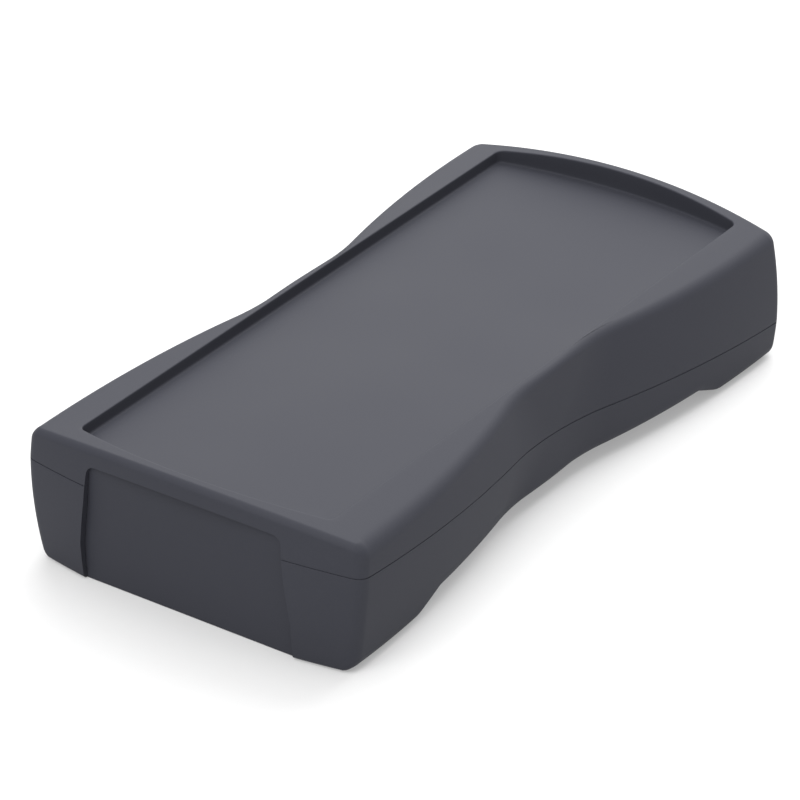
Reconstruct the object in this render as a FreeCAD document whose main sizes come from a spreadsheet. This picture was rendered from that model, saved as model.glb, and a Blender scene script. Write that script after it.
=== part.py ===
import FreeCAD, Part
import math
import os
from FreeCAD import Placement, Rotation, Vector

# Handheld plastic enclosure: a top shell and a bottom shell that meet on a tilted parting plane,
# a separate end panel and four case screws driven from below.
# X runs across, +Y to the closed end, +Z up; the origin is on the table under the middle.

os.makedirs("parts", exist_ok=True)
doc = FreeCAD.newDocument("handheld_enclosure")
sheet = doc.addObject("Spreadsheet::Sheet", "Dimensions")

# Driving dimensions, in millimetres and degrees.
DIMENSIONS = {
    # outline at the parting plane
    "end_width": 99.6,
    "waist_width": 82.4,
    "case_length": 200.2,
    "shoulder_margin": 10.2,
    "waist_radius": 112.0,
    "waist_flat": 0.5,
    "waist_flat_growth": 0.75,
    "waist_radius_fade": 17.0,
    "end_radius": 230.0,
    "corner_radius": 5.4,
    # side walls
    "wall": 2.5,
    "draft_slope": 0.02,
    "barrel_radius": 143.0,
    # parting plane and the seam along it
    "parting_height": 18.6,
    "parting_tilt": 5.1,
    "seam_gap": 0.4,
    "seam_depth": 0.6,
    "tongue_inset": 1.4,
    "tongue_setback": 0.1,
    "tongue_rise": 1.3,
    "tongue_clearance": 0.15,
    "rebate_stop": 0.8,
    # top and the rounding along its edge
    "top_height": 38.6,
    "crown_radius": 307.0,
    "top_near_end_round": 1.8,
    "top_near_side_round": 4.8,
    "top_waist_round": 2.0,
    "top_far_side_round": 4.2,
    "top_far_end_round": 2.4,
    # underside and the rounding along its edge
    "underside_lift": 3.6,
    "near_foot": 32.6,
    "near_foot_slope": 9.0,
    "far_foot": 32.1,
    "far_foot_slope": 8.7,
    "foot_blend": 1.2,
    "bottom_near_end_round": 1.0,
    "bottom_near_side_round": 4.8,
    "bottom_waist_round": 3.0,
    "bottom_far_side_round": 4.4,
    "bottom_far_end_round": 3.0,
    "least_round": 0.5,
    # recess for a keypad or label
    "recess_floor": 33.0,
    "side_rim": 4.05,
    "near_rim": 11.0,
    "far_rim": 9.1,
    "near_bow": 5.8,
    "far_bow": 4.1,
    "recess_corner": 2.2,
    "recess_draft": 3.0,
    "solid_waist": 80.0,
    # end panel and the seat that holds it
    "panel_inset": 3.9,
    "panel_lean": 1.2,
    "panel_thickness": 2.4,
    "panel_tip_thickness": 1.0,
    "panel_overlap": 3.3,
    "panel_tip_overlap": 2.5,
    "panel_shoulder_drop": 2.3,
    "panel_floor_rise": 0.3,
    "panel_below_crown": 3.6,
    "panel_clearance": 0.15,
    "frame_wall": 1.8,
    "window_margin": 1.2,
    "window_sill": 6.5,
    "window_head_drop": 4.5,
    # opening in front of the end panel
    "opening_foot_width": 62.4,
    "opening_top_width": 57.0,
    "opening_bend_height": 10.3,
    "opening_side_height": 22.5,
    "opening_side_draw": 1.7,
    "opening_below_crown": 4.4,
    "opening_corner": 2.5,
    # screw posts, bosses and case screws
    "post_side_margin": 11.8,
    "post_end_margin": 20.1,
    "post_radius": 4.0,
    "boss_radius": 3.2,
    "near_post_drop": 8.7,
    "far_post_drop": 0.1,
    "seat_depth": 3.0,
    "well_radius": 3.3,
    "shank_radius": 1.25,
    "shank_length": 10.0,
    "head_radius": 2.8,
    "head_height": 2.1,
    "pilot_clearance": 0.05,
    "pilot_spare": 1.5,
    "shank_clearance": 0.45,
    "drive_width": 0.8,
    "drive_span": 3.2,
    "drive_depth": 1.2,
    # board standoffs and ribs
    "board_across": 60.0,
    "board_along": 110.0,
    "board_shift": 3.0,
    "board_height": 9.0,
    "standoff_radius": 3.0,
    "standoff_hole": 1.1,
    "standoff_hole_depth": 4.0,
    "rib_spread": 30.0,
    "rib_length": 90.0,
    "rib_width": 1.2,
    "rib_rise": 1.6,
    # how far cutting tools run past what they cut, and joined forms run into each other
    "tool_spare": 5.0,
    "overlap": 0.5,
    # moves the case so that its overall box is centred on the origin
    "centre_shift": -0.61,
}
for row, (alias, value) in enumerate(DIMENSIONS.items(), start=1):
    sheet.set("A%d" % row, alias)
    sheet.set("B%d" % row, str(value))
    sheet.setAlias("B%d" % row, alias)
doc.recompute()


def size(alias):
    """The value of one named cell."""
    return float(getattr(sheet, alias))


# Places that several pieces share. Ends are called by their side: -1 near, +1 far.
TILT = Rotation(Vector(1, 0, 0), -size("parting_tilt"))
END_NAMES = {-1: "near", 1: "far"}
WALL = size("wall")
OVERLAP = size("overlap")
SPARE = size("tool_spare")
ABOVE = size("top_height") + SPARE
HALF_LENGTH = size("case_length") / 2
SHOULDER = HALF_LENGTH - size("shoulder_margin")
RECESS_HALF = size("waist_width") / 2 - size("side_rim")
SEWING_TOLERANCE = 1e-4


# The moulded outline. Each of its runs is a centre, a start, an end and the side that faces out.
def level_inset(level):
    """How far the wall stands in from its parting outline at a height over the parting plane."""
    return size("draft_slope") * abs(level) + level ** 2 / (2 * size("barrel_radius"))


def lift(point, level):
    """A point of the outline's own plane, carried to its level over the parting plane."""
    return Vector(0, 0, size("parting_height")) + TILT.multVec(Vector(point.x, point.y, level))


def outline(inset, level):
    """The waisted outline: the near end, the seven runs up its right side, and the far end."""
    drawn = inset + level_inset(level)
    half = size("end_width") / 2 - drawn
    waist = size("waist_width") / 2 - drawn
    reach = HALF_LENGTH / math.cos(math.radians(size("parting_tilt"))) - drawn
    flat = size("waist_flat") + size("waist_flat_growth") * abs(level)
    waist_r = size("waist_radius") / (1 + abs(level) / size("waist_radius_fade")) + drawn
    end_r = size("end_radius") - drawn
    corner_r = max(size("corner_radius") - inset, 2 * OVERLAP)
    rise = SHOULDER - flat
    both = ((half - waist) ** 2 + rise ** 2) / (2 * (half - waist))
    shoulder_r = both - waist_r
    waist_c = Vector(waist + waist_r, flat, 0)
    shoulder_c = Vector(half - shoulder_r, SHOULDER, 0)
    end_c = Vector(0, reach - end_r, 0)
    tangent = shoulder_c + (waist_c - shoulder_c) * (shoulder_r / both)
    # The corner's centre lies where circles about the shoulder and end centres cross.
    ra = shoulder_r - corner_r
    rb = end_r - corner_r
    span = end_c - shoulder_c
    along = (span.Length ** 2 + ra ** 2 - rb ** 2) / (2 * span.Length)
    off = math.sqrt(ra ** 2 - along ** 2)
    unit = span * (1 / span.Length)
    normals = [Vector(-unit.y, unit.x, 0), Vector(unit.y, -unit.x, 0)]
    corner_c = max((shoulder_c + unit * along + n * off for n in normals), key=lambda p: p.y)
    corner_a = shoulder_c + (corner_c - shoulder_c) * (shoulder_r / ra)
    corner_b = end_c + (corner_c - end_c) * (end_r / rb)
    far = [
        (waist_c, Vector(waist, flat, 0), tangent, -1),
        (shoulder_c, tangent, corner_a, 1),
        (corner_c, corner_a, corner_b, 1),
    ]

    def near(point):
        return Vector(point.x, -point.y, 0)

    runs = [(near(end_c), Vector(-corner_b.x, -corner_b.y, 0), near(corner_b), 1)]
    runs.extend([(near(c), near(q), near(p), side) for c, p, q, side in reversed(far)])
    runs.append((None, Vector(waist, -flat, 0), Vector(waist, flat, 0), 1))
    runs.extend(far)
    runs.append((end_c, corner_b, Vector(-corner_b.x, corner_b.y, 0), 1))
    return runs


def run_point(run, fraction):
    """A point on one run and the direction out of the case there, both in the outline's plane."""
    centre, start, end, side = run
    if centre is None:
        return start + (end - start) * fraction, Vector(1, 0, 0)
    a = math.atan2(start.y - centre.y, start.x - centre.x)
    b = math.atan2(end.y - centre.y, end.x - centre.x)
    angle = a + ((b - a + math.pi) % (2 * math.pi) - math.pi) * fraction
    ray = Vector(math.cos(angle), math.sin(angle), 0)
    return centre + ray * (start - centre).Length, ray * side


def run_steps(number, part=1.0):
    """How many pieces a part of a run is sampled in: more where it is long or turns sharply."""
    centre, start, end, side = outline(0, 0)[number]
    length = (end - start).Length * part
    if centre is None or length < size("waist_flat") * 12:
        return 2
    return 4 if length < size("shoulder_margin") * 2 else 6


# Smooth faces. Each is one patch whose edges are the curves that its neighbours share.
def curve_poles(points):
    """Poles of the one smooth curve through evenly spaced points."""
    if len(points) < 3:
        return list(points)
    curve = Part.BezierCurve()
    curve.interpolate([[point] for point in points])
    return curve.getPoles()


def curve_edge(poles):
    """The edge that a row of poles stands for."""
    curve = Part.BezierCurve()
    curve.setPoles(poles)
    return curve.toShape()


def patch(rows):
    """The smooth face that a grid of poles stands for."""
    across = len(rows)
    along = len(rows[0])
    surface = Part.BSplineSurface()
    surface.buildFromPolesMultsKnots(rows, [across, across], [along, along], [0, 1], [0, 1],
                                     False, False, across - 1, along - 1)
    return surface.toShape()


def mirrored(point):
    """The same point on the other side of the case."""
    return Vector(-point.x, point.y, point.z)


def ring_edges(rows):
    """Edges all round the case from the rows of poles of the near end, right side and far end."""
    left = [[mirrored(pole) for pole in reversed(row)] for row in reversed(rows[1:-1])]
    return [curve_edge(row) for row in rows + left]


def skin(spans):
    """Faces all round the case, and the first and last ring of their poles.

    A span is a list of columns, and a column is a list of points from its start onwards. Each strip
    of faces is ruled between two curves, one through each column's point and one through its next.
    """
    faces = []
    first = []
    last = []
    for number, columns in enumerate(spans):
        rows = [curve_poles(list(points)) for points in zip(*columns)]
        for strip in zip(rows, rows[1:]):
            faces.append(patch(strip))
            if 0 < number < len(spans) - 1:
                faces.append(patch([[mirrored(pole) for pole in reversed(row)] for row in strip]))
        first.append(rows[0])
        last.append(rows[-1])
    return faces, first, last


def sewn(faces):
    """The solid inside a closed set of faces."""
    shell = Part.makeShell(faces)
    shell.sewShape(SEWING_TOLERANCE)
    body = Part.makeSolid(shell)
    if body.Volume < 0:
        body.reverse()
    return body


def crown_height(place, inset):
    """Height of the crowned top, or of the same crown offset inwards."""
    radius = size("crown_radius") - inset
    return size("top_height") - size("crown_radius") + math.sqrt(radius ** 2 - place.x ** 2)


def ramp(distance):
    """Zero up to a bend and the distance past it from there on, with the bend blended."""
    blend = size("foot_blend")
    if distance < -blend:
        return 0.0
    if distance > blend:
        return distance
    return (distance + blend) ** 2 / (4 * blend)


def underside_height(place, inset):
    """Height of the underside: a flat foot at each end, with a slope up to the lifted middle."""
    end = END_NAMES[-1 if place.y < 0 else 1]
    run = size(end + "_foot_slope")
    inside = HALF_LENGTH - size(end + "_foot") - abs(place.y)
    return inset + size("underside_lift") / run * (ramp(inside) - ramp(inside - run))


def underside_bends():
    """Places along the case where the underside's slopes begin and end."""
    places = []
    for sy, end in END_NAMES.items():
        run = size(end + "_foot_slope")
        blend = size("foot_blend")
        for inside in (-blend, blend, run - blend, run + blend):
            places.append(sy * (HALF_LENGTH - size(end + "_foot") - inside))
    return sorted(places)


def edge_round(edge, point, outward, inset):
    """Radius of the rounding along the top or bottom edge: least at the waist, most at the shoulders."""
    end = END_NAMES[-1 if point.y < 0 else 1]
    share = min(abs(point.y) / SHOULDER, 1)
    waist = size(edge + "_waist_round")
    side = waist + (size("%s_%s_side_round" % (edge, end)) - waist) * share
    tip = size("%s_%s_end_round" % (edge, end))
    radius = tip + (side - tip) * outward.x ** 2
    return max(radius - inset, size("least_round"))


def column(number, fraction, inset, start, edge):
    """Points up one column, from a start by the parting plane out to the crown or to the underside.

    The wall follows the outline's levels. The rounding is the curve nearest to an arc whose ends
    touch the wall and the surface. The last point lies on that surface.
    """
    wall_steps, round_steps = (2, 4) if inset == 0 else (1, 2)
    sign = 1 if edge == "top" else -1
    height = crown_height if edge == "top" else underside_height

    def wall_at(distance):
        level = sign * distance
        point, outward = run_point(outline(inset, level)[number], fraction)
        return lift(point, level), TILT.multVec(outward)

    low = start
    high = size("top_height")
    while high - low > 1e-7:
        middle = (low + high) / 2
        point = wall_at(middle)[0]
        if sign * (height(point, inset) - point.z) > 0:
            low = middle
        else:
            high = middle
    corner, outward = wall_at(low)

    def on_surface(depth):
        place = corner - outward * depth
        return Vector(place.x, place.y, height(place, inset))

    step = 0.01
    radius = edge_round(edge, corner, outward, inset)
    along = (corner - wall_at(low - step)[0]).normalize()
    across = (on_surface(step) - corner).normalize()
    tangent = radius * math.tan(along.getAngle(across) / 2)
    foot_at = low - tangent
    foot = wall_at(foot_at)[0]
    along = (foot - wall_at(foot_at - step)[0]).normalize()
    brow = on_surface(tangent)
    across = (on_surface(tangent + step) - brow).normalize()
    handle = 4 / 3 * math.tan(along.getAngle(across) / 4) * radius
    poles = (foot, foot + along * handle, brow - across * handle, brow)
    points = [wall_at(start + (foot_at - start) * i / wall_steps)[0] for i in range(wall_steps)]
    for i in range(round_steps + 1):
        t = i / round_steps
        weights = ((1 - t) ** 3, 3 * t * (1 - t) ** 2, 3 * t ** 2 * (1 - t), t ** 3)
        points.append(sum((pole * weight for pole, weight in zip(poles, weights)), Vector()))
    return points


def top_body(inset, start):
    """Solid of the top half: walls, rounding, the crown's rim and a lid that the recess takes away."""
    narrow = (RECESS_HALF - WALL) / (size("end_width") / 2)
    shorter = (HALF_LENGTH - max(size("near_rim"), size("far_rim")) - WALL) / HALF_LENGTH
    lid_height = size("recess_floor") + 2 * OVERLAP - inset
    spans = []
    for number in range(len(outline(inset, 0))):
        count = run_steps(number)
        columns = []
        for i in range(count + 1):
            points = column(number, i / count, inset, start, "top")
            brow = points[-1]
            inner = Vector(brow.x * narrow, brow.y * shorter, lid_height)
            for place in ((brow + inner) * 0.5, inner):
                points.append(Vector(place.x, place.y, crown_height(place, inset)))
            columns.append(points + [inner])
        spans.append(columns)
    faces, first, last = skin(spans)
    faces.append(Part.Face(Part.Wire(ring_edges(first))))
    faces.append(Part.Face(Part.Wire(ring_edges(last))))
    return sewn(faces)


def flat_face(rows):
    """The flat face between rows of poles on the right, their mirror images and straight chords."""
    edges = []
    for row in rows:
        edges.append(curve_edge(row))
        if row[0].x * row[-1].x > 0:
            edges.append(curve_edge([mirrored(pole) for pole in row]))
    for point in (rows[0][0], rows[-1][-1]):
        if point.x > 0:
            edges.append(Part.makeLine(point, mirrored(point)))
    return Part.Face(Part.Wire(Part.__sortEdges__(edges)))


def bottom_body(inset, start):
    """Solid of the bottom half: walls, rounding and an underside of straight strips across the case."""
    def brow_at(number, fraction):
        return column(number, fraction, inset, start, "bottom")[-1].y

    last_run = len(outline(inset, 0)) - 1
    spans = []
    for number in range(last_run + 1):
        cuts = [0.0]
        if 0 < number < last_run:
            low_y = brow_at(number, 0.0)
            high_y = brow_at(number, 1.0)
            for place in underside_bends():
                if low_y < place < high_y:
                    low, high = 0.0, 1.0
                    while high - low > 1e-7:
                        middle = (low + high) / 2
                        if brow_at(number, middle) < place:
                            low = middle
                        else:
                            high = middle
                    cuts.append(low)
        cuts.append(1.0)
        for a, b in zip(cuts, cuts[1:]):
            count = run_steps(number, b - a)
            spans.append([column(number, a + (b - a) * i / count, inset, start, "bottom")
                          for i in range(count + 1)])
    faces, first, last = skin(spans)
    faces.append(Part.Face(Part.Wire(ring_edges(first))))
    # The feet and the middle are flat faces, and each bend and slope is a strip across the case.
    flat = []
    for row in last:
        heights = [pole.z for pole in row]
        if max(heights) - min(heights) < SEWING_TOLERANCE:
            flat.append(row)
            continue
        if flat:
            faces.append(flat_face(flat))
            flat = []
        faces.append(patch([row, [mirrored(pole) for pole in row]]))
    faces.append(flat_face(flat))
    return sewn(faces)


def block(name, corner, spans):
    """A named box from its low corner and its three spans."""
    box = doc.addObject("Part::Box", name)
    box.Length, box.Width, box.Height = spans
    box.Placement = Placement(Vector(*corner), Rotation())
    doc.recompute()
    return box.Shape


def post(name, radius, place, low, high):
    """An upright cylinder whose radius is a formula of the sheet's cells."""
    cylinder = doc.addObject("Part::Cylinder", name)
    cylinder.setExpression("Radius", radius)
    cylinder.Height = high - low
    cylinder.Placement = Placement(Vector(place[0], place[1], low), Rotation())
    doc.recompute()
    return cylinder.Shape


def seam_prism(inset, low, high):
    """The parting outline as a prism square to the parting plane, between two levels."""
    rows = []
    for number, run in enumerate(outline(inset, 0)):
        count = run_steps(number)
        rows.append(curve_poles([lift(run_point(run, i / count)[0], low) for i in range(count + 1)]))
    return Part.Face(Part.Wire(ring_edges(rows))).extrude(TILT.multVec(Vector(0, 0, high - low)))


def recess_wire(grow, level):
    """The recess outline at a height: straight sides, bowed ends and round corners."""
    half = RECESS_HALF + grow
    corner = size("recess_corner") + max(grow, 0)
    ends = {}
    for sy, name in END_NAMES.items():
        bow = size(name + "_bow")
        end_r = (RECESS_HALF ** 2 + bow ** 2) / (2 * bow) + grow
        crest = HALF_LENGTH - size(name + "_rim") + bow + grow
        end_c = Vector(0, sy * (crest - end_r), level)
        corner_y = end_c.y + sy * math.sqrt((end_r - corner) ** 2 - (half - corner) ** 2)
        centre = Vector(half - corner, corner_y, level)
        side = Vector(half, corner_y, level)
        tip = end_c + (centre - end_c).normalize() * end_r
        turn = (side - centre).normalize() + (tip - centre).normalize()
        ends[sy] = (side, centre + turn.normalize() * corner, tip, Vector(0, sy * crest, level))
    edges = []
    for sy in END_NAMES:
        side, bend, tip, crest = ends[sy]
        edges.append(Part.Arc(side, bend, tip).toShape())
        edges.append(Part.Arc(tip, crest, mirrored(tip)).toShape())
        edges.append(Part.Arc(mirrored(tip), mirrored(bend), mirrored(side)).toShape())
    edges.append(Part.makeLine(ends[-1][0], ends[1][0]))
    edges.append(Part.makeLine(mirrored(ends[-1][0]), mirrored(ends[1][0])))
    return Part.Wire(Part.__sortEdges__(edges))


def recess_block(grow, low, high):
    """The recess as a drafted solid between two heights, wider towards the top."""
    slope = math.tan(math.radians(size("recess_draft")))
    floor = size("recess_floor")
    rings = [recess_wire(grow + (level - floor) * slope, level) for level in (low, high)]
    return Part.makeLoft(rings, True, True)


# The end panel's own frame: its front face, which leans, with heights measured up that face.
LEAN = Placement(Vector(0, size("panel_inset") - HALF_LENGTH, 0),
                 Rotation(Vector(1, 0, 0), size("panel_lean")))


def slab(half, low, high, front, back):
    """A box in the panel's frame, symmetrical about the middle."""
    box = Part.makeBox(2 * half, back - front, high - low, Vector(-half, front, low))
    box.Placement = LEAN.multiply(box.Placement)
    return box


def under_crown(drop):
    """All that lies more than a drop below the crown."""
    radius = size("crown_radius") - drop
    axis = Vector(0, -size("case_length"), size("top_height") - size("crown_radius"))
    return Part.makeCylinder(radius, 2 * size("case_length"), axis, Vector(0, 1, 0))


clear = size("panel_clearance")
thick = size("panel_thickness")
tip_thick = size("panel_tip_thickness")
half_panel = size("opening_foot_width") / 2 + size("panel_overlap")
half_apron = size("opening_foot_width") / 2 - clear
half_tip = size("opening_top_width") / 2 + size("panel_tip_overlap")
ledge = WALL + size("panel_floor_rise")
shoulder = size("recess_floor") - size("panel_shoulder_drop")

# The end panel: a plate that leans forward, thinner where it passes the recess, with an apron below.
plate = slab(half_panel, ledge, shoulder, clear, thick)
tip = slab(half_tip, shoulder - OVERLAP, ABOVE, clear, tip_thick)
tip = tip.common(under_crown(size("panel_below_crown")))
apron = slab(half_apron, 0, ledge + OVERLAP, clear, thick)
panel_shape = plate.fuse([tip, apron]).removeSplitter()


def opening_tool():
    """The opening in front of the panel, with sides that draw in upwards and a top under the crown."""
    foot = size("opening_foot_width") / 2
    top = size("opening_top_width") / 2
    radius = size("crown_radius") - size("opening_below_crown")
    crest = size("top_height") - size("crown_radius")
    corner = size("opening_corner")
    bend = Vector(foot, 0, size("opening_bend_height"))
    draw = Vector(foot - size("opening_side_draw"), 0, size("opening_side_height"))
    head = Vector(top, 0, crest + math.sqrt(radius ** 2 - top ** 2))
    turn_low = head + (draw - head).normalize() * corner
    turn_in = Vector(top - corner, 0, crest + math.sqrt(radius ** 2 - (top - corner) ** 2))
    right = [Vector(foot, 0, -SPARE), bend, draw, turn_low]
    edges = []
    for a, b in zip(right, right[1:]):
        edges.append(Part.makeLine(a, b))
        edges.append(Part.makeLine(mirrored(a), mirrored(b)))
    for flip in (Vector, mirrored):
        edges.append(curve_edge([flip(turn_low), flip(head), flip(turn_in)]))
    edges.append(Part.Arc(turn_in, Vector(0, 0, crest + radius), mirrored(turn_in)).toShape())
    edges.append(Part.makeLine(right[0], mirrored(right[0])))
    face = Part.Face(Part.Wire(Part.__sortEdges__(edges)))
    tool = face.extrude(Vector(0, -2 * SPARE, 0))
    tool.Placement = LEAN.multiply(tool.Placement)
    return tool


# The room that the panel needs in the shells.
seat = slab(half_panel + clear, ledge - clear, shoulder + clear, 0, thick + clear)
tip_seat = slab(half_tip + clear, shoulder - OVERLAP, ABOVE, 0, tip_thick + clear)
tip_seat = tip_seat.common(under_crown(size("panel_below_crown") - clear))
apron_seat = slab(half_apron + clear, -SPARE, ledge + OVERLAP, -clear, thick + clear)
panel_room = seat.fuse([tip_seat, apron_seat, opening_tool()])
frame_back = thick + clear + size("frame_wall")
frame_half = half_panel + clear + size("frame_wall")
frame = slab(frame_half, -SPARE, ABOVE, -SPARE, frame_back)
header = slab(frame_half, shoulder + clear, ABOVE, -SPARE, frame_back)
window = slab(size("opening_foot_width") / 2 - size("window_margin"), size("window_sill"),
              size("recess_floor") - size("window_head_drop"), 0, frame_back + SPARE)

# Outer and inner forms of the two halves.
upper_form = top_body(0, 0.0)
upper_room = top_body(WALL, -4 * OVERLAP)
lower_form = bottom_body(0, 0.0)
lower_room = bottom_body(WALL, -4 * OVERLAP)

# The ceiling stays level over the waist, where the walls come too close to the recess for a channel.
under_tray = size("recess_floor") - WALL
tray = recess_block(WALL, under_tray, ABOVE)
recess = recess_block(0, size("recess_floor"), ABOVE)
solid_waist = block("solid_waist", (-size("end_width"), -size("solid_waist") / 2, under_tray),
                    (2 * size("end_width"), size("solid_waist"), ABOVE))

post_x = size("end_width") / 2 - size("post_side_margin")
post_y = HALF_LENGTH - size("post_end_margin")
corners = [(sx * post_x, sy * post_y) for sx in (1, -1) for sy in (-1, 1)]
board_y = size("board_along") / 2
standoffs = [(sx * size("board_across") / 2, sy * board_y + size("board_shift"))
             for sx in (-1, 1) for sy in (-1, 1)]


def meeting(place):
    """Height at which a bottom post meets its boss, under the parting plane."""
    parting = size("parting_height") - place[1] * math.tan(math.radians(size("parting_tilt")))
    return parting - size("near_post_drop" if place[1] < 0 else "far_post_drop")


def ribs(name, low, height):
    """Two stiffening ribs along the middle of a shell."""
    made = []
    for number, sx in enumerate((-1, 1)):
        start = (sx * size("rib_spread") / 2 - size("rib_width") / 2, -size("rib_length") / 2, low)
        made.append(block("%s_%d" % (name, number), start, (size("rib_width"), size("rib_length"), height)))
    return made


# Top shell.
shell_top = upper_form.cut(upper_room.cut([tray, solid_waist, header, frame]))
added = ribs("tray_rib", under_tray - size("rib_rise"), size("rib_rise") + OVERLAP)
for number, place in enumerate(corners):
    added.append(post("boss_%d" % number, "Dimensions.boss_radius", place,
                      meeting(place), under_tray + OVERLAP))
shell_top = shell_top.fuse(added)
taken = [recess, panel_room, window]
rebate_rise = size("tongue_rise") + size("tongue_clearance")
rebate = seam_prism(size("tongue_inset") - size("tongue_clearance"), -OVERLAP, rebate_rise)
rebate = rebate.cut(seam_prism(WALL + OVERLAP, -2 * OVERLAP, rebate_rise + OVERLAP))
rebate_half = frame_half + size("rebate_stop")
rebate_back = frame_back + size("rebate_stop")
taken.append(rebate.cut(slab(rebate_half, -SPARE, ABOVE, -2 * SPARE, rebate_back)))
pilot_depth = size("shank_length") - size("seat_depth") + size("pilot_spare")
for number, place in enumerate(corners):
    taken.append(post("pilot_%d" % number, "Dimensions.shank_radius + Dimensions.pilot_clearance",
                      place, meeting(place) - OVERLAP, meeting(place) + pilot_depth))
shell_top = shell_top.cut(taken)

# Bottom shell.
shell_bottom = lower_form.cut(lower_room.cut(frame))
floor = size("underside_lift") + WALL
added = ribs("floor_rib", floor - OVERLAP, size("rib_rise") + OVERLAP)
for number, place in enumerate(corners):
    whole = post("post_%d" % number, "Dimensions.post_radius", place, -OVERLAP, meeting(place))
    added.append(whole.common(lower_form))
for number, place in enumerate(standoffs):
    added.append(post("standoff_%d" % number, "Dimensions.standoff_radius", place,
                      floor - OVERLAP, size("board_height")))
tongue = seam_prism(size("tongue_inset"), -OVERLAP, size("tongue_rise"))
tongue = tongue.cut(seam_prism(WALL - size("tongue_setback"), -2 * OVERLAP, rebate_rise + OVERLAP))
stop = size("tongue_clearance")
added.append(tongue.cut(slab(rebate_half + stop, -SPARE, ABOVE, -2 * SPARE, rebate_back + stop)))
shell_bottom = shell_bottom.fuse(added)
seam = seam_prism(-WALL, -size("seam_gap"), OVERLAP)
taken = [panel_room, window, seam.cut(seam_prism(size("seam_depth"), -2 * OVERLAP, 2 * OVERLAP))]
for number, place in enumerate(corners):
    taken.append(post("well_%d" % number, "Dimensions.well_radius", place,
                      -OVERLAP, meeting(place) - size("seat_depth")))
    taken.append(post("bore_%d" % number, "Dimensions.shank_radius + Dimensions.shank_clearance",
                      place, -OVERLAP, meeting(place) + OVERLAP))
for number, place in enumerate(standoffs):
    taken.append(post("standoff_hole_%d" % number, "Dimensions.standoff_hole", place,
                      size("board_height") - size("standoff_hole_depth"), size("board_height") + OVERLAP))
shell_bottom = shell_bottom.cut(taken)


# Case screws: pan heads with a cross drive, driven up from the feet into the top shell's bosses.
def case_screw(number, place):
    """One screw, its head seated under the post and its shank pointing up."""
    under_head = meeting(place) - size("seat_depth")
    down = under_head - size("head_height")
    head = post("screw_head_%d" % number, "Dimensions.head_radius", place, down, under_head)
    shank = post("screw_shank_%d" % number, "Dimensions.shank_radius", place,
                 under_head - OVERLAP, under_head + size("shank_length"))
    long = size("drive_span")
    short = size("drive_width")
    slots = []
    for axis, (dx, dy) in (("x", (long, short)), ("y", (short, long))):
        corner = (place[0] - dx / 2, place[1] - dy / 2, down - OVERLAP)
        slots.append(block("drive_%s_%d" % (axis, number), corner,
                           (dx, dy, size("drive_depth") + OVERLAP)))
    return head.fuse(shank).cut(slots).removeSplitter()


nodes = {
    "top_shell": shell_top,
    "bottom_shell": shell_bottom,
    "end_panel": panel_shape,
    "case_screws": Part.makeCompound([case_screw(number, place) for number, place in enumerate(corners)]),
}
for name, shape in nodes.items():
    feature = doc.addObject("Part::Feature", name)
    feature.Label = name
    feature.Shape = shape
    feature.Placement = Placement(Vector(0, size("centre_shift"), 0), Rotation())
doc.recompute()

for item in doc.Objects:
    if "Invalid" in item.State or "Error" in item.State:
        raise RuntimeError("%s failed: %s" % (item.Name, item.State))
for name in nodes:
    shape = doc.getObject(name).Shape
    if shape.isNull() or not shape.isValid() or shape.Volume < 1:
        raise RuntimeError("%s has no valid shape" % name)
for name in nodes:
    doc.getObject(name).Shape.exportStep("parts/%s.step" % name)
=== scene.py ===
import bmesh
import bpy
import numpy as np
from mathutils import Matrix, Vector


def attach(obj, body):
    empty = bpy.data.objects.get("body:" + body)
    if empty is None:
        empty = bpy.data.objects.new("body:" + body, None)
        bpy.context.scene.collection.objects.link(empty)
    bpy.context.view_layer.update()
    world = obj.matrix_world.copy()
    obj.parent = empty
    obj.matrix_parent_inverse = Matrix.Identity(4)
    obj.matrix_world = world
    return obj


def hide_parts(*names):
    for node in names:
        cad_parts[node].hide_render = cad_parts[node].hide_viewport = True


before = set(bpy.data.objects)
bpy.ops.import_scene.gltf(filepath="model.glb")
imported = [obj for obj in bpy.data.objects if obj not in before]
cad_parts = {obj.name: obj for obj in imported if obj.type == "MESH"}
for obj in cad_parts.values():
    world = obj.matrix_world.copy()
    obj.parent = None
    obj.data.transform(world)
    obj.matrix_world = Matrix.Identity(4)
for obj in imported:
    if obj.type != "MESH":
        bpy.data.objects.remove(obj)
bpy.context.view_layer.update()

# Top shell. One moulding in dark slate ABS that carries the crowned top and its shallow recess.
# The mould opens square to the tilted seam, so the walls barrel gently about that seam, and the
# edge along the crown is rounded most at the four corners and least at the waist.
# Sizes are in millimetres and angles in degrees, as on the drawing of the case.
centre_shift = -0.62
end_width, waist_width, case_length = 99.6, 82.4, 200.13
shoulder_reach, waist_radius, end_radius, corner_radius = 89.9, 112.0, 230.0, 3.6
waist_flat, waist_flat_growth, waist_radius_fade = 0.5, 0.75, 17.0
wall, draft_slope, barrel_radius = 2.5, 0.02, 143.0
seam_height, seam_tilt = 18.6, np.radians(5.1)
top_height, crown_radius, lip_round = 38.599, 307.0, 0.1
recess_floor, recess_half, recess_corner, recess_draft = 33.0, 37.0, 2.2, np.tan(np.radians(3))
recess_near, recess_far, near_bow, far_bow = 88.95, 90.85, 5.8, 4.1
rim_round, floor_round, rim_gain = 0.4, 0.7, 0.17
front_wall, ceiling_inset, ceiling_level = 4.6, 1.6, 12
panel_setback, panel_lean, tool_reach = 96.2, np.radians(1.2), 12
opening_foot_half, opening_side_half, opening_head_half = 31.2, 29.5, 28.5
opening_bend_height, opening_side_height, opening_below_crown, opening_corner = 10.3, 22.5, 4.4, 2.5
slot_half, slot_foot, slot_head, slot_depth = 34.65, 2.65, 30.85, 2.55
tip_half, tip_foot, tip_below_crown, tip_depth = 31.15, 30.0, 3.45, 1.15


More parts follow.
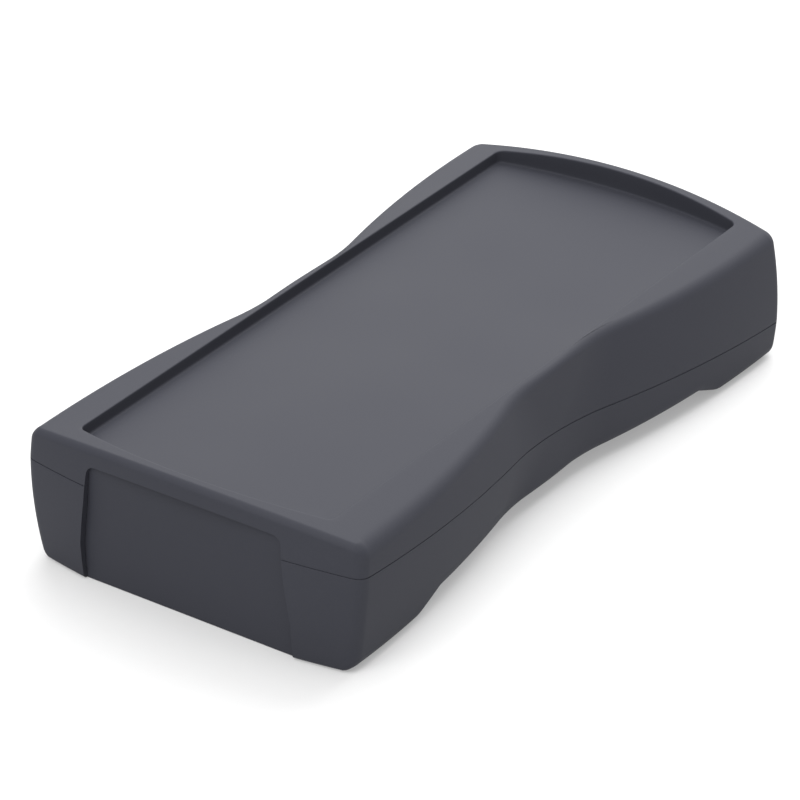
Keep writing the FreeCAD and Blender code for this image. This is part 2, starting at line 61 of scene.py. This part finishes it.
def outline_point(station, inset, level):
    """First-quadrant point and outward direction of the case outline at a level over the seam.

    Stations 0-1 run up half the waist's flat, 1-2 round the waist arc, 2-3 round the shoulder arc,
    3-4 round the corner and 4-5 along half the end arc. Each arc is its centre plus its radius
    times the unit vector at an angle that goes evenly from one tangent point to the next. The whole
    outline stands in by the inset, plus draft slope times |level|, plus level squared over twice
    the barrel radius.
    """
    depth = np.abs(level) + 0 * station
    drawn = inset + draft_slope * depth + depth ** 2 / (2 * barrel_radius)
    half, waist = end_width / 2 - drawn, waist_width / 2 - drawn
    reach = case_length / 2 / np.cos(seam_tilt) - drawn
    flat = waist_flat + waist_flat_growth * depth
    waist_r = waist_radius / (1 + depth / waist_radius_fade) + drawn
    end_r = end_radius - drawn
    corner_r = np.maximum(corner_radius - inset, 1.0) + 0 * depth
    rise = shoulder_reach - flat
    both = ((half - waist) ** 2 + rise ** 2) / (2 * (half - waist))
    shoulder_r = both - waist_r
    waist_x, shoulder_x, end_y = waist + waist_r, half - shoulder_r, reach - end_r
    bend = np.arctan2(shoulder_reach - flat, shoulder_x - waist_x)
    # The corner's centre is where circles about the shoulder's and the end's centres cross.
    ra, rb = shoulder_r - corner_r, end_r - corner_r
    dx, dy = -shoulder_x, end_y - shoulder_reach
    gap = np.hypot(dx, dy)
    along = (gap ** 2 + ra ** 2 - rb ** 2) / (2 * gap)
    off = np.sqrt(ra ** 2 - along ** 2) * np.sign(dx)
    corner_x = shoulder_x + (dx * along - dy * off) / gap
    corner_y = shoulder_reach + (dy * along + dx * off) / gap
    turn = np.arctan2(corner_y - shoulder_reach, corner_x - shoulder_x)
    close = np.arctan2(corner_y - end_y, corner_x)
    part = np.clip(np.floor(station), 0, 4)
    w = station - part
    runs = [part == 1, part == 2, part == 3, part == 4]
    angle = np.select(runs, [np.pi + (bend - np.pi) * w, bend - np.pi + (turn - bend + np.pi) * w,
                             turn + (close - turn) * w, close + (np.pi / 2 - close) * w], 0 * w)
    radius = np.select(runs, [waist_r, shoulder_r, corner_r, end_r], 0 * w)
    cx = np.select(runs, [waist_x, shoulder_x, corner_x, 0 * w], waist)
    cy = np.select(runs, [flat, shoulder_reach + 0 * w, corner_y, end_y], flat * w)
    facing = np.where(part == 1, -1.0, 1.0)
    out_x, out_y = np.cos(angle), np.sin(angle)
    return cx + radius * out_x, cy + radius * out_y, facing * out_x, facing * out_y


def case_columns(counts):
    """Stations round the whole outline, anticlockwise from the waist, and the signs of their quadrants."""
    out = np.concatenate([i + np.arange(n) / n for i, n in enumerate(counts)])
    back = 5 - np.concatenate([i + np.arange(n) / n for i, n in enumerate(counts[::-1])])
    one = np.ones(len(out))
    return (np.concatenate([out, back, out, back]), np.concatenate([one, -one, -one, one]),
            np.concatenate([one, one, -one, -one]))


def wall_point(columns, inset, level):
    """Point on the wall, tilted with the seam, and the outward direction there."""
    station, sx, sy = columns
    x, y, nx, ny = outline_point(station, inset, level)
    x, y, nx, ny = x * sx, y * sy, nx * sx, ny * sy
    c, s = np.cos(seam_tilt), np.sin(seam_tilt)
    place = np.stack([x, y * c + level * s, seam_height - y * s + level * c], -1)
    return place, np.stack([nx, ny * c, -ny * s], -1)


def crown(x, y):
    """Height of the crowned top: a cylinder whose axis runs along the case."""
    return top_height - crown_radius + np.sqrt(crown_radius ** 2 - x ** 2) + 0 * y


def unit(v):
    """The same directions, one long."""
    return v / np.linalg.norm(v, axis=-1, keepdims=True)


def rounded_edge(columns, surface, up, rounding, rows):
    """Rows of points round the edge between the wall and a surface over or under the case.

    The wall meets the surface at the level where its height equals the surface's, found by halving.
    The rounding starts on the wall and ends on the surface, one tangent length from that edge each.
    Between them runs a cubic whose handles are 4/3 tan(a/4) radii long, as for an arc, times a
    fullness that is one for an arc and less for an edge nearer to a chamfer.
    """
    lowest, highest, halvings, step = -2.0, 42.0, 44, 0.01
    low, high = np.full(columns[0].shape, lowest), np.full(columns[0].shape, highest)
    for _ in range(halvings):
        middle = (low + high) / 2
        place = wall_point(columns, 0, up * middle)[0]
        inside = up * (surface(place[:, 0], place[:, 1]) - place[:, 2]) > 0
        low, high = np.where(inside, middle, low), np.where(inside, high, middle)
    edge, outward = wall_point(columns, 0, up * low)
    radius, fullness = rounding(edge, outward)

    def on_surface(distance):
        place = edge - outward * distance[:, None]
        place[:, 2] = surface(place[:, 0], place[:, 1])
        return place

    rise = unit(edge - wall_point(columns, 0, up * (low - step))[0])
    across = unit(on_surface(0 * low + step) - edge)
    tangent = radius * np.tan(np.arccos(np.clip((rise * across).sum(1), -1, 1)) / 2)
    foot = wall_point(columns, 0, up * (low - tangent))[0]
    rise = unit(foot - wall_point(columns, 0, up * (low - tangent - step))[0])
    brow = on_surface(tangent)
    across = unit(on_surface(tangent + step) - brow)
    handle = 4 / 3 * np.tan(np.arccos(np.clip((rise * across).sum(1), -1, 1)) / 4) * radius * fullness
    w = np.linspace(0, 1, rows)[:, None, None]
    return low - tangent, ((1 - w) ** 3 * foot + 3 * (1 - w) ** 2 * w * (foot + rise * handle[:, None])
                           + 3 * (1 - w) * w ** 2 * (brow - across * handle[:, None]) + w ** 3 * brow)


def edge_rounding(near_end, near_side, waist, far_side, far_end):
    """A rounding that grows from the waist to the shoulders and turns into the ends' at the corners.

    On the ends it is a little nearer to a chamfer than an arc is.
    """
    end_chamfer = 0.35

    def rounding(edge, outward):
        near, share = edge[:, 1] < 0, np.clip(np.abs(edge[:, 1]) / shoulder_reach, 0, 1)
        side = waist + (np.where(near, near_side, far_side) - waist) * share
        end = np.where(near, near_end, far_end)
        return end + (side - end) * outward[:, 0] ** 2, 1 - end_chamfer * outward[:, 1] ** 2

    return rounding


def recess_point(columns, grow):
    """Point on the recess outline moved outwards by grow: straight sides, bowed ends, round corners."""
    station, sx, sy = columns
    near = sy < 0
    reach, bow = np.where(near, recess_near, recess_far), np.where(near, near_bow, far_bow)
    end_r = (recess_half ** 2 + bow ** 2) / (2 * bow)
    end_y = reach + bow - end_r
    corner_x = recess_half - recess_corner
    corner_y = end_y + np.sqrt((end_r - recess_corner) ** 2 - corner_x ** 2)
    lean = np.arctan2(corner_y - end_y, corner_x)
    side = outline_point(station, 0, 0 * station)[1] / outline_point(3 + 0 * station, 0, 0 * station)[1]
    angle = np.where(station < 4, lean * np.clip(station - 3, 0, 1),
                     lean + (np.pi / 2 - lean) * np.clip(station - 4, 0, 1))
    runs = [station < 3, station < 4]
    x = np.select(runs, [recess_half + 0 * side, corner_x + recess_corner * np.cos(angle)],
                  end_r * np.cos(angle))
    y = np.select(runs, [np.clip(side, 0, 1) * corner_y, corner_y + recess_corner * np.sin(angle)],
                  end_y + end_r * np.sin(angle))
    return np.stack([(x + grow * np.cos(angle)) * sx, (y + grow * np.sin(angle)) * sy], -1)


def at_height(flat_points, height):
    """Points given by x and y, with their height."""
    return np.concatenate([flat_points[:, :2], (height + 0 * flat_points[:, 0])[:, None]], 1)


def between(a, b, rows):
    """Straight rows from a on towards b, without b itself."""
    return a + (b - a) * (np.arange(rows) / rows)[:, None, None]


def turned(a, corner, b, rows):
    """A small rounding from a on towards b, tangent there to the lines through the corner, without b."""
    w = (np.arange(rows) / rows)[:, None, None]
    return (1 - w) ** 2 * a + 2 * w * (1 - w) * corner + w ** 2 * b


def closed_skin(name, rows):
    """A mesh from a stack of rings of points, whose first and last are folded onto a middle line."""
    weld = 2e-7
    grid = np.concatenate([row if row.ndim == 3 else row[None] for row in rows])
    count, around = grid.shape[:2]
    i, j = np.meshgrid(np.arange(count - 1), np.arange(around), indexing="ij")
    k = (j + 1) % around
    quads = np.stack([i * around + j, i * around + k, (i + 1) * around + k, (i + 1) * around + j], -1)
    mesh = bpy.data.meshes.new(name)
    mesh.from_pydata(((grid.reshape(-1, 3) + (0, centre_shift, 0)) / 1000).tolist(), [],
                     quads.reshape(-1, 4).tolist())
    skin = bmesh.new()
    skin.from_mesh(mesh)
    bmesh.ops.remove_doubles(skin, verts=skin.verts, dist=weld)
    bmesh.ops.dissolve_degenerate(skin, edges=skin.edges, dist=weld)
    bmesh.ops.recalc_face_normals(skin, faces=skin.faces)
    skin.to_mesh(mesh)
    skin.free()
    piece = bpy.data.objects.new(name, mesh)
    bpy.context.scene.collection.objects.link(piece)
    return piece


def leaning_block(name, outline, front, back):
    """A closed block in the end panel's leaning frame: x and height, carried from front to back."""
    outline = np.array(outline, float)
    n, c, s = len(outline), np.cos(panel_lean), np.sin(panel_lean)
    sheets = [np.stack([outline[:, 0], depth * c - outline[:, 1] * s - panel_setback + centre_shift,
                        depth * s + outline[:, 1] * c], -1) for depth in (front, back)]
    step = np.arange(n)
    sides = np.stack([step, (step + 1) % n, n + (step + 1) % n, n + step], -1).tolist()
    mesh = bpy.data.meshes.new(name)
    mesh.from_pydata((np.concatenate(sheets) / 1000).tolist(), [],
                     [step[::-1].tolist(), (n + step).tolist()] + sides)
    block = bpy.data.objects.new(name, mesh)
    bpy.context.scene.collection.objects.link(block)
    whole = bmesh.new()
    whole.from_mesh(mesh)
    bmesh.ops.recalc_face_normals(whole, faces=whole.faces)
    whole.to_mesh(mesh)
    whole.free()
    return block


def cut_and_smooth(piece, tools):
    """The piece without the tools' room, shaded smooth except at sharp edges."""
    sharp = np.radians(30)
    for tool in tools:
        step = piece.modifiers.new(tool.name, "BOOLEAN")
        step.operation, step.solver, step.object = "DIFFERENCE", "EXACT", tool
    bpy.context.view_layer.update()
    shaped = bpy.data.meshes.new_from_object(piece.evaluated_get(bpy.context.evaluated_depsgraph_get()))
    piece.modifiers.clear()
    shaped.name = piece.name
    piece.data = shaped
    for tool in tools:
        bpy.data.objects.remove(tool)
    shaped.shade_smooth()
    shaped.set_sharp_from_angle(angle=sharp)


def arch(drop, half, count):
    """Points along the crown's arc, lowered by a drop, from a half-width on the right to the left."""
    x = np.linspace(half, -half, count)
    return np.stack([x, top_height - crown_radius + np.sqrt((crown_radius - drop) ** 2 - x ** 2)], -1)


def opening_outline():
    """Sides that draw in upwards to a head along the crown, with a small rounding at both its ends."""
    head = np.array([opening_head_half, arch(opening_below_crown, opening_head_half, 2)[0, 1]])
    side = np.array([opening_side_half, opening_side_height])
    low = head + unit(side - head) * opening_corner
    top = arch(opening_below_crown, opening_head_half - opening_corner, 24)
    w = np.linspace(0, 1, 8)[:-1, None]
    corner = (1 - w) ** 2 * low + 2 * w * (1 - w) * head + w ** 2 * top[0]
    foot = [[opening_foot_half, -tool_reach / 2], [opening_foot_half, opening_bend_height]]
    right = np.concatenate([foot, [side], corner])
    return np.concatenate([right, top, (right * (-1, 1))[::-1]])


def panel_rooms():
    """The opening and the slot behind it in which the end panel stands, which overlap a little."""
    overlap = 0.05
    slot = [(-slot_half, slot_foot), (slot_half, slot_foot), (slot_half, slot_head), (-slot_half, slot_head)]
    return [leaning_block("opening", opening_outline(), -tool_reach, overlap),
            leaning_block("slot", slot, 0, slot_depth)]


columns = case_columns((3, 18, 84, 20, 40))
zero = 0 * columns[0]
foot_level, crown_edge = rounded_edge(columns, crown, 1, edge_rounding(1.8, 4.8, 2.0, 4.2, 2.4), 13)
brow = crown_edge[-1]
seam_in = wall_point(columns, wall, zero)[0]
seam_in[:, 1] = np.maximum(seam_in[:, 1], front_wall - panel_setback)
seam_in[:, 2] = seam_height - seam_in[:, 1] * np.tan(seam_tilt)
ceiling = wall_point(columns, wall + ceiling_inset, ceiling_level + zero)[0]
ceiling = at_height(ceiling, recess_floor - wall)
ceiling[:, 1] = np.maximum(ceiling[:, 1], front_wall - panel_setback)
edge_drop = crown(recess_point(columns, rim_gain)[:, 0], 0) - recess_floor
rim = recess_point(columns, edge_drop * recess_draft)
rim_start = recess_point(columns, edge_drop * recess_draft + rim_round)
rim_start = at_height(rim_start, crown(rim_start[:, 0], 0))
rim_end = recess_point(columns, (edge_drop - rim_round) * recess_draft)
rim_end = at_height(rim_end, edge_drop - rim_round + recess_floor)
floor_end = at_height(recess_point(columns, floor_round * recess_draft), recess_floor + floor_round)
floor_start = at_height(recess_point(columns, -floor_round), recess_floor)
rim_rows = between(brow, rim_start, 8)
rim_rows[:, :, 2] = crown(rim_rows[:, :, 0], 0)
middle = np.stack([zero, np.clip(floor_start[:, 1], -60, 60), zero], -1)
top_shell = closed_skin("top_shell_moulding", [
    at_height(middle, recess_floor - wall), ceiling,
    seam_in, wall_point(columns, lip_round, zero)[0],
    turned(wall_point(columns, lip_round, zero)[0], wall_point(columns, 0, zero)[0],
           wall_point(columns, 0, zero + lip_round)[0], 4)[1:],
    np.stack([wall_point(columns, 0, lip_round + (foot_level - lip_round) * i / 20)[0] for i in range(20)]),
    crown_edge[:-1], rim_rows, turned(rim_start, at_height(rim, edge_drop + recess_floor), rim_end, 5),
    between(rim_end, floor_end, 3),
    turned(floor_end, at_height(recess_point(columns, 0), recess_floor), floor_start, 6),
    between(floor_start, at_height(middle, recess_floor), 4), at_height(middle, recess_floor)])
tip_outline = np.concatenate([[[-tip_half, tip_foot], [tip_half, tip_foot]],
                              arch(tip_below_crown, tip_half, 25)])
tip_slot = leaning_block("tip_slot", tip_outline, 0.001, tip_depth)
cut_and_smooth(top_shell, panel_rooms() + [tip_slot])


def linear(colour):
    """The linear light of an sRGB hex colour."""
    value = np.array([int(colour[i:i + 2], 16) for i in (1, 3, 5)]) / 255
    return (*np.where(value <= 0.04045, value / 12.92, ((value + 0.055) / 1.055) ** 2.4), 1.0)


def node(tree, kind, settings=(), **links):
    """A node with its settings, whose inputs take values, or the outputs that are given for them."""
    made = tree.nodes.new(kind)
    for key, value in dict(settings).items():
        setattr(made, key, value)
    for key, value in links.items():
        numbered = key[0] == "i" and key[1:].isdigit()
        socket = made.inputs[int(key[1:]) if numbered else key.replace("_", " ")]
        if isinstance(value, bpy.types.NodeSocket):
            tree.links.new(value, socket)
        else:
            socket.default_value = value
    return made


def moulded_abs(name, dark, light, roughness, grain_mm, grain_depth_mm):
    """ABS moulded against a spark-eroded tool.

    The eye sees a matt, even slate grey with a faint grain and, here and there, a broad patch that is
    a shade lighter or glossier, where the melt met the tool hotter. The real grain is about 0.1 mm
    across, too fine for the render, so it is drawn at the grain size given.
    """
    material = bpy.data.materials.new(name)
    material.use_nodes = True
    tree = material.node_tree
    shader = tree.nodes["Principled BSDF"]
    shader.inputs["IOR"].default_value = 1.54
    shader.inputs["Metallic"].default_value = 0.0
    shader.inputs["Specular IOR Level"].default_value = 0.1
    place = node(tree, "ShaderNodeTexCoord").outputs["Object"]
    grain = node(tree, "ShaderNodeTexNoise", Vector=place, Scale=1000 / grain_mm, Detail=3.0, Roughness=0.6)
    flow = node(tree, "ShaderNodeTexNoise", Vector=place, Scale=18.0, Detail=2.0, Roughness=0.5)
    share = node(tree, "ShaderNodeMath", {"operation": "MULTIPLY_ADD"}, i0=grain.outputs["Fac"], i1=0.5)
    tree.links.new(flow.outputs["Fac"], share.inputs[2])
    colour = node(tree, "ShaderNodeMix", {"data_type": "RGBA"}, i6=linear(dark), i7=linear(light))
    spread = node(tree, "ShaderNodeMapRange", Value=share.outputs[0], From_Min=0.5, From_Max=1.0)
    tree.links.new(spread.outputs[0], colour.inputs[0])
    tree.links.new(colour.outputs[2], shader.inputs["Base Color"])
    rough = node(tree, "ShaderNodeMapRange", Value=flow.outputs["Fac"], From_Min=0.3, From_Max=0.7,
                 To_Min=roughness - 0.04, To_Max=roughness + 0.04)
    tree.links.new(rough.outputs[0], shader.inputs["Roughness"])
    bump = node(tree, "ShaderNodeBump", Height=grain.outputs["Fac"], Strength=0.5,
                Distance=grain_depth_mm / 1000)
    tree.links.new(bump.outputs[0], shader.inputs["Normal"])
    return material


shell_finish = moulded_abs("matt_slate_abs", "#37383f", "#3b3c43", 0.6, 0.55, 0.012)
top_shell.data.materials.append(shell_finish)
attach(top_shell, "root")
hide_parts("top_shell")

# Bottom shell. The second moulding in the same ABS, screwed to the first from below.
# A small step round its seam leaves the thin shadow line that hides any mismatch of the two, and it
# stands on a flat foot at each end with the middle of its underside lifted between them.
step_height, step_depth = 0.22, 0.18
underside_lift, foot_blend = 3.6, 1.2
near_foot_end, near_foot_slope, far_foot_end, far_foot_slope = 67.5, 9.0, 68.0, 8.7


def underside(x, y):
    """Height of the underside: lift times ramp(d) less ramp(d - slope), over the slope's length.

    Here d is the distance inwards from the foot's end, and ramp(d) is d from zero on, with the bend
    blended by (d + b) squared over 4b within b each side of it.
    """
    near = y < 0
    slope = np.where(near, near_foot_slope, far_foot_slope)
    inside = np.where(near, near_foot_end, far_foot_end) - np.abs(y)

    def ramp(d):
        return np.where(np.abs(d) < foot_blend, (d + foot_blend) ** 2 / (4 * foot_blend), np.maximum(d, 0))

    return underside_lift / slope * (ramp(inside) - ramp(inside - slope)) + 0 * x


low_level, foot_edge = rounded_edge(columns, underside, -1, edge_rounding(1.0, 4.8, 3.0, 4.4, 3.0), 11)
low_brow = foot_edge[-1]
floor_inset, floor_level, floor_fold = 2.2, -9, 85
floor_in = wall_point(columns, wall + floor_inset, zero + floor_level)[0]
floor_in[:, 1] = np.maximum(floor_in[:, 1], front_wall - panel_setback)
floor_in[:, 2] = underside(0, floor_in[:, 1]) + wall
floor_line = np.stack([zero, np.clip(floor_in[:, 1], -floor_fold, floor_fold), floor_in[:, 2]], -1)
step_in, step_foot, lip_in, lip_corner = [wall_point(columns, inset, zero + level)[0] for inset, level in (
    (step_depth, 0), (step_depth, -step_height), (lip_round, -step_height), (0, -step_height))]
lip_out = -step_height - lip_round
under_rows = low_brow * np.linspace(1, 0, 7)[:, None, None] ** (1, 0, 0)
under_rows[:, :, 2] = underside(0, under_rows[:, :, 1])
bottom_shell = closed_skin("bottom_shell_moulding", [
    floor_line, floor_in, seam_in, step_in, step_foot, lip_in,
    turned(lip_in, lip_corner, wall_point(columns, 0, zero + lip_out)[0], 4)[1:],
    np.stack([wall_point(columns, 0, lip_out - (low_level + lip_out) * i / 20)[0] for i in range(20)]),
    foot_edge[:-1], under_rows])


def screw_wells():
    """Round wells in the feet, each as a ring of points carried up to its screw's head."""
    well_radius, count, out, along, near_top, far_top = 3.3, 40, 38, 80, 14.04, 8.36
    turn = np.linspace(0, 2 * np.pi, count, endpoint=False)
    step = np.arange(count)
    after = (step + 1) % count
    sides = np.stack([step, after, count + after, count + step], -1).tolist()
    caps = [step[::-1].tolist(), (count + step).tolist()]
    tools = []
    for x, y, top in ((out, -along, near_top), (-out, -along, near_top), (out, along, far_top),
                      (-out, along, far_top)):
        ring = np.stack([x + well_radius * np.cos(turn), y + centre_shift + well_radius * np.sin(turn),
                         0 * turn], -1)
        mesh = bpy.data.meshes.new("well")
        mesh.from_pydata((np.concatenate([ring + (0, 0, -1), ring + (0, 0, top)]) / 1000).tolist(), [],
                         caps + sides)
        tool = bpy.data.objects.new("well", mesh)
        bpy.context.scene.collection.objects.link(tool)
        tools.append(tool)
    return tools


half, below, above = opening_foot_half, -6, 3
foot_outline = [(-half, below), (half, below), (half, above), (-half, above)]
foot_slot = leaning_block("foot_slot", foot_outline, -0.15, slot_depth + 0.001)
cut_and_smooth(bottom_shell, panel_rooms() + [foot_slot] + screw_wells())
bottom_shell.data.materials.append(shell_finish)
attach(bottom_shell, "root")
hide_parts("bottom_shell")

# End panel. A separate flat ABS plate that stands in slots in both shells, behind the lips of the
# opening. It is cut plain here and can be replaced by one with sockets. Its tool was finished a
# little smoother than the shells', so it is more even, and its colour is set a shade darker.
panel = bpy.data.objects["end_panel"]
panel_finish = moulded_abs("smooth_slate_abs", "#37383f", "#393a41", 0.6, 0.5, 0.006)
panel.data.materials.clear()
panel.data.materials.append(panel_finish)

# Case screws. Four zinc-plated steel self-tapping screws in the wells under the feet.
screws = bpy.data.objects["case_screws"]
screw_finish = bpy.data.materials.new("zinc_plated_steel")
screw_finish.use_nodes = True
plating = screw_finish.node_tree
plated = plating.nodes["Principled BSDF"]
plated.inputs["Metallic"].default_value = 1.0
spots = node(plating, "ShaderNodeTexNoise", Vector=node(plating, "ShaderNodeTexCoord").outputs["Object"],
             Scale=900.0, Detail=2.0)
shine = node(plating, "ShaderNodeMapRange", Value=spots.outputs["Fac"], To_Min=0.25, To_Max=0.45)
plating.links.new(shine.outputs[0], plated.inputs["Roughness"])
tone = node(plating, "ShaderNodeMix", {"data_type": "RGBA"}, i6=linear("#b9bcc0"), i7=linear("#cfd1d2"))
plating.links.new(spots.outputs["Fac"], tone.inputs[0])
plating.links.new(tone.outputs[2], plated.inputs["Base Color"])
screws.data.materials.clear()
screws.data.materials.append(screw_finish)

# Studio: a light table of backlit white acrylic under a white surround, a light overhead, a broad
# screen behind the far end whose sheen lifts the top, a fill from the near end, and the camera.
floor_gap = 0.0002
floor_mesh = bpy.data.meshes.new("studio_floor")
floor_corners = [(x, y, -floor_gap) for x, y in ((-6, -6), (6, -6), (6, 6), (-6, 6))]
floor_mesh.from_pydata(floor_corners, [], [(0, 1, 2, 3)])
studio_floor = bpy.data.objects.new("studio_floor", floor_mesh)
bpy.context.scene.collection.objects.link(studio_floor)
backlit_white_acrylic = bpy.data.materials.new("backlit_white_acrylic")
backlit_white_acrylic.use_nodes = True
acrylic = backlit_white_acrylic.node_tree
acrylic_shader = acrylic.nodes["Principled BSDF"]
acrylic_shader.inputs["Roughness"].default_value = 0.9
acrylic_shader.inputs["Emission Color"].default_value = (1, 1, 1, 1)
acrylic_shader.inputs["Emission Strength"].default_value = 0.3
acrylic_place = node(acrylic, "ShaderNodeTexCoord").outputs["Object"]
haze = node(acrylic, "ShaderNodeTexNoise", Vector=acrylic_place, Scale=300.0)
acrylic_tone = node(acrylic, "ShaderNodeMix", {"data_type": "RGBA"}, i6=linear("#bcbcbc"),
                    i7=linear("#bebebe"))
acrylic.links.new(haze.outputs["Fac"], acrylic_tone.inputs[0])
acrylic.links.new(acrylic_tone.outputs[2], acrylic_shader.inputs["Base Color"])
studio_floor.data.materials.append(backlit_white_acrylic)

world = bpy.data.worlds.new("studio")
world.use_nodes = True
world.node_tree.nodes["Background"].inputs["Color"].default_value = (1, 1, 1, 1)
world.node_tree.nodes["Background"].inputs["Strength"].default_value = 0.58
bpy.context.scene.world = world
bpy.context.scene.view_settings.view_transform = "Standard"


def softbox(name, place, width, power):
    """A square area light aimed at the middle of the case."""
    lamp = bpy.data.lights.new(name, "AREA")
    lamp.size, lamp.energy = width, power
    lamp_object = bpy.data.objects.new(name, lamp)
    lamp_object.location = place
    lamp_object.rotation_euler = (Vector((0, 0, 0.02)) - Vector(place)).to_track_quat("-Z", "Y").to_euler()
    bpy.context.scene.collection.objects.link(lamp_object)


softbox("overhead", (0.1, 0.1, 1.6), 1.2, 12.0)
softbox("far_screen", (-0.4, 1.25, 1.05), 2.0, 42.0)
softbox("front_fill", (0.0, -1.0, 1.2), 0.8, 10.5)

azimuth, elevation, distance = np.radians(34.708), np.radians(30.478), 1.109375
back = Vector((np.sin(azimuth) * np.cos(elevation), -np.cos(azimuth) * np.cos(elevation), np.sin(elevation)))
right = Vector((np.cos(azimuth), np.sin(azimuth), 0))
lens = bpy.data.cameras.new("camera")
lens.sensor_width, lens.lens = 36.0, 36 * 4368.68 / 800
lens.shift_x, lens.shift_y = -0.02425, 0.06033
camera = bpy.data.objects.new("camera", lens)
camera.matrix_world = Matrix.Translation(back * distance + Vector((0, centre_shift / 1000, 0))) @ Matrix(
    (right, back.cross(right), back)).transposed().to_4x4()
bpy.context.scene.collection.objects.link(camera)
bpy.context.scene.camera = camera
